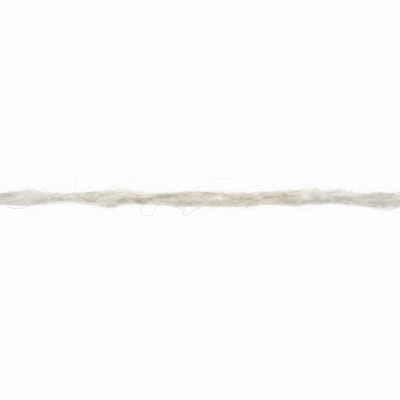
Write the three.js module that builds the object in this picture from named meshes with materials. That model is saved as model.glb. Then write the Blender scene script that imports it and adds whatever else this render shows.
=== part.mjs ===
// A cut length of soft, single-ply wool yarn that lies straight on a flat surface.
// Millimetres. +X runs along the yarn, +Z is up, and the yarn rests on z = 0.
// The origin is under the middle of the yarn's outer box.

import * as THREE from 'three';

// Driving dimensions
const LENGTH = 100;           // from cut end to cut end
const STEPS = 100;            // rings along the yarn
const SIDES = 30;             // points around one ring; their rows follow the twist
const PRESSED_SHARE = 0.12;   // share of the height that its weight presses flat underneath

// The spun fibres leave two spiral creases, deep where the yarn is thin and its twist is tight
const CREASE_ANGLES = [0, Math.PI];  // places of the creases around one ring
const CREASE_SPREAD = 0.5;    // half the angle that a crease takes up, in radians
const CREASE_DEPTH = 0.24;    // share of the radius, at the thinnest place
const THIN_WIDTH = 2.0;       // width of the thinnest place
const SLUB_WIDTH = 3.9;       // width of the thickest place, where a crease fades out

// Soft locks of fibre follow the same spiral and swell and fade along the yarn
const LOCK_COUNT = 5;         // locks around one ring
const LOCK_RISE = 0.06;       // share of the radius
const LOCK_LENGTH = 17;       // from one swelling of a lock to the next

// Undyed wool
const WOOL_COLOUR = 0xd6d2c7;
const WOOL_ROUGHNESS = 0.95;

// One row for each place where the yarn changes: x along it, the sideways place of its middle,
// its width and height there, and the angle of its first crease in degrees. An angle is
// counted from +Y towards +Z, so it falls along +X where the fibres rise to the right.
const SECTIONS = [
  { x: -50.0, centre: 0.05, width: 2.50, height: 2.5, crease: 262 },
  { x: -43.0, centre: 0.15, width: 2.50, height: 2.7, crease: 205 },
  { x: -36.5, centre: 0.20, width: 3.50, height: 2.4, crease: 150 },
  { x: -33.3, centre: 0.10, width: 3.00, height: 2.6, crease: 122 },
  { x: -29.0, centre: 0.20, width: 2.00, height: 2.7, crease: 80 },
  { x: -24.7, centre: 0.20, width: 2.60, height: 2.8, crease: 30 },
  { x: -19.8, centre: -0.05, width: 3.90, height: 2.5, crease: -5 },
  { x: -16.0, centre: 0.35, width: 3.40, height: 2.7, crease: -30 },
  { x: -13.0, centre: 0.15, width: 2.95, height: 2.8, crease: -60 },
  { x: -10.0, centre: -0.10, width: 2.25, height: 2.7, crease: -92 },
  { x: -6.5, centre: -0.05, width: 2.90, height: 2.8, crease: -122 },
  { x: -2.0, centre: -0.10, width: 3.45, height: 2.6, crease: -146 },
  { x: 3.2, centre: -0.15, width: 3.40, height: 2.6, crease: -172 },
  { x: 8.6, centre: -0.15, width: 3.10, height: 2.7, crease: -208 },
  { x: 13.8, centre: 0.10, width: 2.70, height: 2.7, crease: -274 },
  { x: 19.4, centre: 0.15, width: 3.55, height: 2.5, crease: -325 },
  { x: 23.6, centre: 0.30, width: 3.45, height: 2.5, crease: -350 },
  { x: 28.0, centre: 0.55, width: 3.35, height: 2.6, crease: -385 },
  { x: 31.2, centre: 0.20, width: 3.30, height: 2.7, crease: -425 },
  { x: 34.0, centre: -0.20, width: 2.70, height: 2.8, crease: -462 },
  { x: 39.8, centre: -0.35, width: 3.90, height: 2.4, crease: -520 },
  { x: 43.0, centre: -0.30, width: 3.45, height: 2.5, crease: -545 },
  { x: 50.0, centre: -0.10, width: 2.60, height: 2.5, crease: -600 },
];

// A smooth run through the rows of the section table
const COLUMNS = ['centre', 'width', 'height', 'crease'];
const sectionRun = new THREE.CubicInterpolant(
  SECTIONS.map((row) => row.x),
  SECTIONS.flatMap((row) => COLUMNS.map((column) => row[column])),
  COLUMNS.length,
);

function sectionAt(x) {
  const [centre, width, height, crease] = sectionRun.evaluate(x);
  return { centre, width, height, crease: THREE.MathUtils.degToRad(crease) };
}

// How far the creases draw the surface in, as a share of the radius, at an angle from the first
function creaseShare(width, angle) {
  const thinness = 1 - THREE.MathUtils.smoothstep(width, THIN_WIDTH, SLUB_WIDTH);
  let share = 0;
  for (const place of CREASE_ANGLES) {
    const away = 2 * Math.sin((angle - place) / 2);
    share += Math.exp(-((away / CREASE_SPREAD) ** 2));
  }
  return CREASE_DEPTH * thinness * share;
}

// How far a lock of fibre stands out, as a share of the radius, at an angle from the first crease
function lockShare(x, angle) {
  const swelling = Math.sin((2 * Math.PI * x) / LOCK_LENGTH);
  return LOCK_RISE * swelling * Math.cos(LOCK_COUNT * angle);
}

// Moves the points of a round bar of radius 1 onto the yarn's surface, turning its rows with the twist
function shapeYarn(geometry) {
  const points = geometry.getAttribute('position');
  for (let i = 0; i < points.count; i += 1) {
    const x = points.getX(i);
    const angle = Math.atan2(points.getZ(i), points.getY(i));
    const fromAxis = Math.hypot(points.getY(i), points.getZ(i));
    const { centre, width, height, crease } = sectionAt(x);
    const reach = 0.5 * fromAxis * (1 - creaseShare(width, angle) + lockShare(x, angle));
    const y = centre + width * reach * Math.cos(angle + crease);
    const z = height * (0.5 - PRESSED_SHARE + reach * Math.sin(angle + crease));
    points.setXYZ(i, x, y, Math.max(z, 0));
  }
}

// Sets the outer box over the origin, with its underside on z = 0
function standOverOrigin(geometry) {
  geometry.computeBoundingBox();
  const middle = geometry.boundingBox.getCenter(new THREE.Vector3());
  geometry.translate(-middle.x, -middle.y, -geometry.boundingBox.min.z);
}

function yarnStrand() {
  const geometry = new THREE.CylinderGeometry(1, 1, LENGTH, SIDES, STEPS);
  geometry.rotateZ(-Math.PI / 2);
  shapeYarn(geometry);
  standOverOrigin(geometry);
  geometry.computeVertexNormals();
  const wool = new THREE.MeshStandardMaterial({
    color: WOOL_COLOUR,
    roughness: WOOL_ROUGHNESS,
    metalness: 0,
  });
  const mesh = new THREE.Mesh(geometry, wool);
  mesh.name = 'yarn_strand';
  return mesh;
}

const yarn = new THREE.Group();
yarn.add(yarnStrand());

export default yarn;
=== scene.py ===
"""The looks of a cut length of soft single-ply wool yarn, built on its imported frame.

Metres, +X along the yarn, +Y across it, +Z up. A dense core lies under thousands of fine
fibres that follow the twist. A fuzzy halo, stray hairs and brushed cut ends finish it.
"""

import logging
import math
from abc import ABC, abstractmethod
from dataclasses import InitVar, dataclass, field
from enum import Enum
from typing import ClassVar

import bpy
import numpy as np
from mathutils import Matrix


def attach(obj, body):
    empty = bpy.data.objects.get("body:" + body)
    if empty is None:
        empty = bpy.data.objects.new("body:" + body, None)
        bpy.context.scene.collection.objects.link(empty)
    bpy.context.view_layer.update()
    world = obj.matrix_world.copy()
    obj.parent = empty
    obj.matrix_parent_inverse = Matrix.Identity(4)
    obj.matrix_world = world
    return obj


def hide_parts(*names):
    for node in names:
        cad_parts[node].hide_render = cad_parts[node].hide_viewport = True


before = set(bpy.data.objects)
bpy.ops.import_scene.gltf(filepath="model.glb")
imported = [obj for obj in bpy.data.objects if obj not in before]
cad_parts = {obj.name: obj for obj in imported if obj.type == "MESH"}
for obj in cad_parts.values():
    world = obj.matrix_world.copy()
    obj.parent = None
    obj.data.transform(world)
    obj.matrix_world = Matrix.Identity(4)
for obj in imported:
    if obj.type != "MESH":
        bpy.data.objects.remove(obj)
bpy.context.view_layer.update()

MM = 0.001
TURN = 2.0 * math.pi
BODY = "root"
STRAND_NODE = "yarn_strand"
MAP_NAME = "OFBake"
WHITE = (1.0, 1.0, 1.0, 1.0)
LOG = logging.getLogger("yarn")

STRAND_LENGTH = 100 * MM
STRAND_THICKNESS = 3 * MM
HALF_LENGTH = STRAND_LENGTH / 2

Colour = tuple[float, float, float]
Rows = tuple[tuple[float, float], ...]
Rng = np.random.Generator


def read_rows(rows: Rows, x: np.ndarray) -> np.ndarray:
    """Reads rows of places along the strand, in millimetres, and of values there, at x."""
    places, values = np.array(rows).T
    return np.interp(x, places * MM, values)


def held_in(away: np.ndarray, free: float, slack: float) -> np.ndarray:
    """Draws far points in, so that fibres thin out softly past the outline.

    Args:
        away: distances from the strand's middle, as shares of its surface's.
        free: the distance that is left as it is.
        slack: the most that a point goes past it.

    Returns:
        The distances after drawing in.
    """
    return np.where(away > free, free + slack * np.tanh((away - free) / slack), away)


def tapered(radius: np.ndarray, t: np.ndarray, loss: float, power: float) -> np.ndarray:
    """Thins fibres towards both tips.

    Args:
        radius: the fibres' radii at their middles.
        t: places along the fibres, from 0 to 1.
        loss: the share of the radius that is lost at the tips.
        power: how late the thinning sets in.

    Returns:
        The radius at each place.
    """
    return radius * (1 - loss * np.abs(2 * t - 1) ** power)


def make_piece(
    name: str, points: np.ndarray, faces: list[np.ndarray], places: np.ndarray
) -> bpy.types.Object:
    """Makes a piece with smooth faces and a map of its own.

    Args:
        name: the piece's name.
        points: its points.
        faces: its faces, in groups of one size, as rows of points' numbers.
        places: the map's place of each face's corners, in the same order.

    Returns:
        The piece, at the origin.
    """
    corners = np.concatenate([group.reshape(-1) for group in faces])
    sizes = np.concatenate([np.full(len(group), group.shape[1]) for group in faces])
    starts = np.cumsum(sizes) - sizes
    mesh = bpy.data.meshes.new(name)
    mesh.vertices.add(len(points))
    mesh.vertices.foreach_set("co", points.reshape(-1))
    mesh.loops.add(len(corners))
    mesh.loops.foreach_set("vertex_index", corners.astype(np.int32))
    mesh.polygons.add(len(sizes))
    mesh.polygons.foreach_set("loop_start", starts.astype(np.int32))
    mesh.polygons.foreach_set("use_smooth", np.ones(len(sizes), dtype=bool))
    mesh.update(calc_edges=True)
    layer = mesh.uv_layers.new(name=MAP_NAME)
    layer.data.foreach_set("uv", places.astype(np.float32).reshape(-1))
    piece = bpy.data.objects.new(name, mesh)
    bpy.context.collection.objects.link(piece)
    return piece


@dataclass(frozen=True)
class ToneMap:
    """How pieces are mapped: by their tone one way and by their place along the strand the other.

    Attributes:
        margin: the map's free margin.
        tone_step: how far tones lie apart that differ by 1.
        family_step: how far the tan fibres' tones lie from the plain ones'.
        reach: the length that the map covers, as a share of the strand's.
    """

    margin: float = 0.02
    tone_step: float = 0.22
    family_step: float = 0.5
    reach: float = 1.1

    def tone(self, tone: np.ndarray | float, tan: np.ndarray | float = 0.0) -> np.ndarray:
        """Returns the map's places of tones from -1 to 1, plain (0) or tan (1)."""
        return self.margin + self.tone_step * (np.clip(tone, -1, 1) + 1) + self.family_step * tan

    def along(self, x: np.ndarray | float) -> np.ndarray:
        """Returns the map's places of x."""
        share = np.clip(x / (self.reach * STRAND_LENGTH) + 0.5, 0, 1)
        return self.margin + (1 - 2 * self.margin) * share


TONE_MAP = ToneMap()


class Value:
    """A socket's value. The product of two colours adds its Mix node."""

    # A Mix node's sockets for colours, by number, because their names repeat
    mix_colours = (6, 7)
    mix_result = 2

    def __init__(self, tree: "NodeTree", socket: bpy.types.NodeSocket) -> None:
        """Keeps the tree and the output socket that holds the value."""
        self.tree = tree
        self.socket = socket

    def __mul__(self, other: object) -> "Value":
        """Multiplies two colours.

        Args:
            other: the other colour, a value or a plain one.

        Returns:
            The product.
        """
        first, second = self.mix_colours
        settings = {"data_type": "RGBA", "blend_type": "MULTIPLY"}
        inputs = {"Factor": 1.0, first: self, second: other}
        return self.tree.add("ShaderNodeMix", settings, inputs, self.mix_result)

    __rmul__ = __mul__


class NodeTree:
    """A new material's node tree, filled through one method."""

    def __init__(self, name: str) -> None:
        """Makes an empty material of this name."""
        self.material = bpy.data.materials.new(name)
        self.material.use_nodes = True
        self.material.node_tree.nodes.clear()

    def add(
        self,
        kind: str,
        settings: dict[str, object] | None = None,
        inputs: dict[object, object] | None = None,
        output: object = 0,
    ) -> Value | None:
        """Adds a node.

        Args:
            kind: the node's type.
            settings: its own settings, set first; "stops" fills a colour ramp.
            inputs: values or links of its sockets, by name or number.
            output: the output that is returned, by name or number.

        Returns:
            The chosen output, or None for a node without outputs.
        """
        node = self.material.node_tree.nodes.new(kind)
        for key, value in (settings or {}).items():
            if key == "stops":
                self._fill_ramp(node.color_ramp, value)
            else:
                setattr(node, key, value)
        for key, value in (inputs or {}).items():
            if isinstance(value, Value):
                self.material.node_tree.links.new(value.socket, node.inputs[key])
            else:
                node.inputs[key].default_value = value
        return Value(self, node.outputs[output]) if len(node.outputs) else None

    def surface(self, inputs: dict[object, object]) -> bpy.types.Material:
        """Adds a Principled surface and ends the tree with it.

        Args:
            inputs: values or links of the surface's sockets.

        Returns:
            The finished material.
        """
        surface = self.add("ShaderNodeBsdfPrincipled", inputs=inputs)
        self.add("ShaderNodeOutputMaterial", inputs={"Surface": surface})
        return self.material

    @staticmethod
    def _fill_ramp(ramp: bpy.types.ColorRamp, stops: list[tuple[float, Colour]]) -> None:
        """Sets a ramp's stops.

        Args:
            ramp: the colour ramp.
            stops: each stop's place and colour, the first two taking the ramp's own stops.
        """
        while len(ramp.elements) < len(stops):
            ramp.elements.new(1.0)
        for element, (place, colour) in zip(ramp.elements, stops):
            element.position = place
            element.color = (*colour, 1.0)


@dataclass
class StrandForm:
    """The strand's outer form, read ring by ring from its solid, and its twist.

    Attributes:
        directions: directions around a ring in which its reach is kept.
        place_digits: digits of a metre to which the points of one ring agree.
        rim_share: share of a ring's reach inside which points belong to the end faces.
        twist_rows: places along the strand in millimetres, with the turn of its fibres there
            in degrees, as in the solid.
        edge_rows: places along the strand, with the near and far edge of the dense body
            there, all in millimetres.
        dense_height: the dense body's height, as a share of the strand's.
        far_thinning: how far in fibres of the far side are drawn at most, as a share of the reach.
        far_tail: how few fibres are left near that edge; 1 draws them in evenly.
        soft_reach: how far from the strand's middle its far side is drawn in at all.
        soft_fade: the length over which that fades out.
        stations: places of the rings along the strand.
        middles: y and z of the rings' middles.
        reaches: the rings' reach from there, by ring and direction.
    """

    directions: int = 90
    place_digits: int = 5
    rim_share: float = 0.5
    twist_rows: Rows = (
        (-50.0, 262), (-43.0, 205), (-36.5, 150), (-33.3, 122), (-29.0, 80), (-24.7, 30),
        (-19.8, -5), (-16.0, -30), (-13.0, -60), (-10.0, -92), (-6.5, -122), (-2.0, -146),
        (3.2, -172), (8.6, -208), (13.8, -274), (19.4, -325), (23.6, -350), (28.0, -385),
        (31.2, -425), (34.0, -462), (39.8, -520), (43.0, -545), (50.0, -600),
    )
    edge_rows: tuple[tuple[float, float, float], ...] = (
        (-50.0, -1.05, 1.15), (-43.0, -1.20, 1.58), (-41.0, -1.30, 1.66), (-39.0, -1.40, 1.80),
        (-37.0, -1.38, 2.20), (-35.0, -1.30, 1.95), (-33.0, -0.92, 1.42), (-31.0, -0.51, 1.06),
        (-29.0, -0.41, 1.00), (-27.0, -0.49, 1.16), (-25.0, -0.62, 1.60), (-23.0, -0.86, 1.75),
        (-22.0, -0.97, 1.85), (-21.4, -1.42, 1.95), (-20.8, -1.88, 2.05), (-18.6, -1.95, 2.15),
        (-17.6, -1.60, 2.10), (-16.4, -1.10, 2.00), (-14.0, -1.00, 1.80), (-12.0, -1.19, 1.50),
        (-10.0, -1.25, 1.30), (-8.0, -1.40, 1.44), (-6.0, -1.45, 1.55), (-4.0, -1.68, 1.75),
        (-2.0, -1.83, 2.05), (0.0, -1.65, 2.05), (2.0, -1.75, 1.95), (4.0, -1.75, 1.80),
        (6.0, -1.70, 1.65), (8.0, -1.70, 1.70), (10.0, -1.65, 1.65), (11.5, -1.60, 1.32),
        (13.0, -1.30, 1.24), (15.0, -1.25, 1.66), (17.0, -1.35, 1.95), (19.0, -1.50, 2.00),
        (21.0, -1.45, 2.10), (23.0, -1.30, 2.15), (25.0, -1.24, 2.20), (27.0, -1.10, 2.30),
        (29.0, -1.05, 2.30), (31.0, -1.15, 2.10), (33.0, -1.20, 1.80), (34.5, -1.50, 1.45),
        (36.0, -1.70, 1.50), (38.0, -2.05, 1.70), (40.0, -1.95, 1.75), (42.0, -1.86, 1.75),
        (50.0, -1.05, 1.15),
    )
    dense_height: float = 0.92
    far_thinning: float = 0.45
    far_tail: float = 3.0
    soft_reach: float = 48 * MM
    soft_fade: float = 5 * MM
    stations: np.ndarray = field(init=False)
    middles: np.ndarray = field(init=False)
    reaches: np.ndarray = field(init=False)

    def __post_init__(self) -> None:
        """Reads the rings of the solid."""
        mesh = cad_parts[STRAND_NODE].data
        points = np.empty(len(mesh.vertices) * 3)
        mesh.vertices.foreach_get("co", points)
        points = points.reshape(-1, 3)
        places = np.round(points[:, 0], self.place_digits)
        self.stations = np.unique(places)
        rings = [points[places == place, 1:] for place in self.stations]
        self.middles = np.array([(ring.min(axis=0) + ring.max(axis=0)) / 2 for ring in rings])
        self.reaches = np.array([self._reach(r - m) for r, m in zip(rings, self.middles)])

    def _reach(self, ring: np.ndarray) -> np.ndarray:
        """Measures one ring.

        Args:
            ring: the ring's points about its middle.

        Returns:
            How far the ring reaches in each direction, counted from +Y towards +Z.
        """
        away = np.hypot(ring[:, 0], ring[:, 1])
        rim = away > self.rim_share * away.max()
        angles = np.arctan2(ring[rim, 1], ring[rim, 0])
        order = np.argsort(angles)
        wanted = np.arange(self.directions) * TURN / self.directions
        return np.interp(wanted, angles[order], away[rim][order], period=TURN)

    def middle(self, x: np.ndarray) -> tuple[np.ndarray, np.ndarray]:
        """Returns the y and z of the strand's middle at x."""
        y, z = self.middles.T
        return np.interp(x, self.stations, y), np.interp(x, self.stations, z)

    def reach(self, x: np.ndarray, angle: np.ndarray) -> np.ndarray:
        """Reads the surface's distance from the middle.

        Args:
            x: places along the strand.
            angle: directions, counted from +Y towards +Z.

        Returns:
            The distances.
        """
        last = len(self.stations) - 1
        along = np.interp(x, self.stations, np.arange(last + 1))
        row = np.minimum(along.astype(int), last - 1)
        part = along - row
        around = np.mod(angle, TURN) / TURN * self.directions
        column = around.astype(int) % self.directions
        turn = around - np.floor(around)
        after = (column + 1) % self.directions
        low = self.reaches[row, column] * (1 - turn) + self.reaches[row, after] * turn
        high = self.reaches[row + 1, column] * (1 - turn) + self.reaches[row + 1, after] * turn
        return low * (1 - part) + high * part

    def width(self, x: np.ndarray) -> np.ndarray:
        """Returns the outline's width at x."""
        return self.reach(x, np.zeros_like(x)) + self.reach(x, np.full_like(x, math.pi))

    def twist(self, x: np.ndarray) -> np.ndarray:
        """Returns the turn of the fibres at x, in radians."""
        return np.radians(read_rows(self.twist_rows, x))

    def place(
        self, x: np.ndarray, angle: np.ndarray, share: np.ndarray, lift: np.ndarray | float = 0.0
    ) -> np.ndarray:
        """Places points in or on the strand.

        Args:
            x: places along the strand.
            angle: directions, counted from +Y towards +Z.
            share: distances from the middle, as shares of the surface's.
            lift: further distance outwards.

        Returns:
            The points.
        """
        away = self.reach(x, angle) * share + lift
        y, z = self.middle(x)
        return np.stack([x, y + away * np.cos(angle), z + away * np.sin(angle)], axis=-1)

    def edges(self, x: np.ndarray) -> tuple[np.ndarray, np.ndarray]:
        """Returns the y of the dense body's near and far edge at x."""
        places, near, far = np.array(self.edge_rows).T * MM
        return np.interp(x, places, near), np.interp(x, places, far)

    def across(self, points: np.ndarray) -> np.ndarray:
        """Returns where points lie across the dense body, from 0 at its near edge to 1."""
        near, far = self.edges(points[..., 0])
        return (points[..., 1] - near) / (far - near)

    def clear(self, points: np.ndarray, inset: float) -> np.ndarray:
        """Measures how far points stand clear of the dense body.

        Args:
            points: the points.
            inset: how far the far edge is drawn in for it, as a share of the body's width.

        Returns:
            The distances past the near edge or the far one, negative between them.
        """
        near, far = self.edges(points[..., 0])
        return np.maximum(near - points[..., 1], points[..., 1] - far + inset * (far - near))

    def far_side(self, x: np.ndarray, angle: np.ndarray) -> np.ndarray:
        """Returns how far points lie on the soft far side, from 0 to 1; it ends before the cuts."""
        soft = np.clip((self.soft_reach - np.abs(x)) / self.soft_fade, 0, 1)
        return soft * np.clip(np.cos(angle), 0, 1)

    def thinned(self, rng: Rng, x: np.ndarray, angle: np.ndarray) -> np.ndarray:
        """Draws fibres in on the far side, so that few of them reach its edge.

        Args:
            rng: the random source.
            x: the fibres' places along the strand, by fibre and point.
            angle: their directions.

        Returns:
            The shares of the reach that are left to them.
        """
        most = self.far_thinning * (1 - rng.uniform(0, 1, (len(angle), 1)) ** self.far_tail)
        return 1 - most * self.far_side(x, angle)

    def dense(self, x: np.ndarray, angle: np.ndarray, share: np.ndarray) -> np.ndarray:
        """Places points in the dense body, which is narrower than the outline where that is fuzzy.

        Args:
            x: places along the strand.
            angle: directions, counted from +Y towards +Z.
            share: distances from the middle, as shares of the surface's.

        Returns:
            The points.
        """
        near, far = self.edges(x)
        middle, _ = self.middle(x)
        points = self.place(x, angle, share)
        narrowing = (far - near) / self.width(x)
        points[..., 1] = (near + far) / 2 + (points[..., 1] - middle) * narrowing
        points[..., 2] *= self.dense_height
        return points


@dataclass(frozen=True)
class Waves:
    """Soft, uneven waves, one for each fibre or lock, each made of a long and a short one.

    Attributes:
        heights: the heights of the two waves.
        lengths: their lengths.
        phases: their places at the strand's middle.
    """

    heights: np.ndarray
    lengths: np.ndarray
    phases: np.ndarray

    def picked(self, owner: np.ndarray) -> "Waves":
        """Returns the waves of these owners."""
        return Waves(self.heights[owner], self.lengths[owner], self.phases[owner])

    def at(self, x: np.ndarray) -> np.ndarray:
        """Returns the height of each row's wave at its places along the strand."""
        turns = TURN * x[:, None, :] / self.lengths[:, :, None] + self.phases[:, :, None]
        return (self.heights[:, :, None] * np.sin(turns)).sum(axis=1)


@dataclass(frozen=True)
class Crimp:
    """The sizes from which the waves of fibres are drawn.

    Attributes:
        height: usual height of a wave, in the measure of what it moves.
        shortest: the shortest length of a long wave.
        longest: its longest length.
        height_shares: shares of the long and the short wave in the height.
        length_shares: the lengths of the two waves, as shares of those drawn.
        unevenness: how much the heights differ.
    """

    height: float
    shortest: float
    longest: float
    height_shares: tuple[float, float] = (0.65, 0.35)
    length_shares: tuple[float, float] = (1.0, 0.54)
    unevenness: float = 0.35

    def drawn(self, rng: Rng, count: int) -> Waves:
        """Draws waves.

        Args:
            rng: the random source.
            count: the number of waves.

        Returns:
            The waves.
        """
        pairs = (count, 2)
        heights = self.height * np.array(self.height_shares) * rng.normal(1.0, self.unevenness, pairs)
        lengths = rng.uniform(self.shortest, self.longest, pairs) * np.array(self.length_shares)
        return Waves(heights, lengths, rng.uniform(0, TURN, pairs))


@dataclass
class Mottle:
    """A soft random field in space, made of many plane waves, for lumps and mottled tones.

    Attributes:
        rng: the random source.
        shortest: the shortest wave.
        longest: the longest wave.
        stretch: how much longer the field is along the strand than across.
        height: how much longer it is upwards than across.
        waves: the number of waves.
        turns: turns of each wave per metre, along each axis.
        phases: the waves' places at the origin.
    """

    rng: InitVar[Rng]
    shortest: float
    longest: float
    stretch: float
    height: float = 1.0
    waves: int = 40
    turns: np.ndarray = field(init=False)
    phases: np.ndarray = field(init=False)

    def __post_init__(self, rng: Rng) -> None:
        """Draws the waves.

        Args:
            rng: the random source.
        """
        ways = rng.normal(0, 1, (self.waves, 3))
        ways /= np.linalg.norm(ways, axis=1, keepdims=True)
        ways /= rng.uniform(self.shortest, self.longest, (self.waves, 1))
        self.turns = ways / (self.stretch, 1.0, self.height)
        self.phases = rng.uniform(0, TURN, self.waves)

    def at(self, points: np.ndarray) -> np.ndarray:
        """Reads the field.

        Args:
            points: points in space.

        Returns:
            The field's value at each point, with a usual size of 1.
        """
        total = np.zeros(points.shape[:-1])
        for turn, phase in zip(self.turns, self.phases):
            total += np.cos(TURN * (points @ turn) + phase)
        return total * math.sqrt(2 / self.waves)


@dataclass(frozen=True)
class FibreRun:
    """Where each fibre of a group runs along the strand.

    Attributes:
        x: places along the fibres, by fibre and point.
        t: the same places as shares of the fibres' lengths.
        cut_back: how far behind the strand's ends fibres are usually cut.
        cut_spread: how much that differs from fibre to fibre.
        least: the shortest fibre that is left.
    """

    x: np.ndarray
    t: np.ndarray
    cut_back: ClassVar[float] = 0.05 * MM
    cut_spread: ClassVar[float] = 0.13 * MM
    least: ClassVar[float] = 1.5 * MM

    @classmethod
    def drawn(
        cls, rng: Rng, middles: np.ndarray, lengths: np.ndarray, points: int
    ) -> tuple["FibreRun", np.ndarray]:
        """Draws fibres about their middles and cuts them at the strand's ends.

        Args:
            rng: the random source.
            middles: the middles along the strand.
            lengths: the lengths before the cut.
            points: points along one fibre.

        Returns:
            The run, and which of the fibres are left after the cut.
        """
        cut = HALF_LENGTH + rng.normal(-cls.cut_back, cls.cut_spread, (2, len(middles)))
        start = np.maximum(middles - lengths / 2, -cut[0])
        stop = np.minimum(middles + lengths / 2, cut[1])
        left = stop - start > cls.least
        t = np.linspace(0, 1, points)[None, :]
        return cls(start[left, None] + (stop - start)[left, None] * t, t), left


@dataclass
class FibreSheaf:
    """Fibres as centrelines, which are joined into one mesh.

    Attributes:
        lines: the points of each fibre, by fibre, point and axis.
        radii: the fibre's radius at each point.
        tones: the tone at each point, from -1, the painted shade of thin wool in the air, to 1 for pale.
        tan: whether each fibre is a tan one.
        sides: sides of a fibre's section.
        tone_width: a fibre's width on the map.
        cap_width: the width of its end faces there.
        steepest: the rise past which a fibre's section is set against +Y instead of +Z.
    """

    lines: np.ndarray
    radii: np.ndarray
    tones: np.ndarray
    tan: np.ndarray
    sides: int = 3
    tone_width: ClassVar[float] = 0.003
    cap_width: ClassVar[float] = 0.002
    steepest: ClassVar[float] = 0.9

    def joined(self, name: str) -> bpy.types.Object:
        """Returns one piece of closed, thin tubes, mapped by tone and place along the strand."""
        return make_piece(name, self._rims().reshape(-1, 3), self._faces(), self._places())

    def _rims(self) -> np.ndarray:
        """Sets a section around each point.

        Returns:
            The sections' points, by fibre, point, side and axis, kept above the floor.
        """
        lines = self.lines.copy()
        lines[:, :, 2] = np.maximum(lines[:, :, 2], self.radii)
        ahead = np.gradient(lines, axis=1)
        ahead /= np.linalg.norm(ahead, axis=2, keepdims=True)
        steep = np.abs(ahead[:, :, 2:]) > self.steepest
        across = np.cross(ahead, np.where(steep, (0.0, 1.0, 0.0), (0.0, 0.0, 1.0)))
        across /= np.linalg.norm(across, axis=2, keepdims=True)
        above = np.cross(across, ahead)
        turns = np.arange(self.sides)[:, None] * TURN / self.sides
        rims = across[:, :, None] * np.cos(turns) + above[:, :, None] * np.sin(turns)
        return lines[:, :, None] + self.radii[:, :, None, None] * rims

    def _faces(self) -> list[np.ndarray]:
        """Lists the tubes' faces.

        Returns:
            The walls, the faces of the first ends and those of the last ends.
        """
        count, steps, _ = self.lines.shape
        sides = self.sides
        near = np.arange(sides)
        far = (near + 1) % sides
        first = (np.arange(count) * steps * sides)[:, None, None]
        base = first + (np.arange(steps - 1) * sides)[None, :, None]
        walls = np.stack([base + near, base + sides + near, base + sides + far, base + far], axis=-1)
        start_caps = first[:, 0] + near
        end_caps = first[:, 0] + (steps - 1) * sides + near[::-1]
        return [walls.reshape(-1, 4), start_caps, end_caps]

    def _places(self) -> np.ndarray:
        """Maps the faces by tone and by place along the strand.

        Returns:
            The map's places, in the order of the faces' corners.
        """
        count, steps, _ = self.lines.shape
        tones = np.broadcast_to(self.tones, (count, steps))
        tone = TONE_MAP.tone(tones, np.reshape(self.tan, (count, 1)))
        along = TONE_MAP.along(self.lines[:, :, 0])
        near = tone[:, :, None] + self.tone_width * np.arange(self.sides) / self.sides
        far = near + self.tone_width / self.sides
        place = np.broadcast_to(along[:, :, None], near.shape)
        here, ahead = slice(0, steps - 1), slice(1, steps)
        corners = ((near, here), (near, ahead), (far, ahead), (far, here))
        walls = np.stack([np.stack([u[:, k], place[:, k]], axis=-1) for u, k in corners], axis=-2)
        around = np.arange(self.sides) / (self.sides - 1)
        rise = self.cap_width * np.sin(np.pi * around)
        caps = []
        for end, order in ((0, around), (-1, around[::-1])):
            u = tone[:, end, None] + self.tone_width * order
            caps.append(np.stack([u, along[:, end, None] + rise], axis=-1))
        return np.concatenate([part.reshape(-1, 2) for part in (walls, *caps)])


class WoolPart(Enum):
    """Which part of the yarn a wool finish is for."""

    CORE = "wool_core"
    FIBRE = "wool_fibre"


class Tint(Enum):
    """The tints that stretches of the strand have."""

    COOL = (0.985, 0.988, 0.993)
    EVEN = (0.989, 0.986, 0.982)
    WARM = (0.992, 0.980, 0.953)


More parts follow.
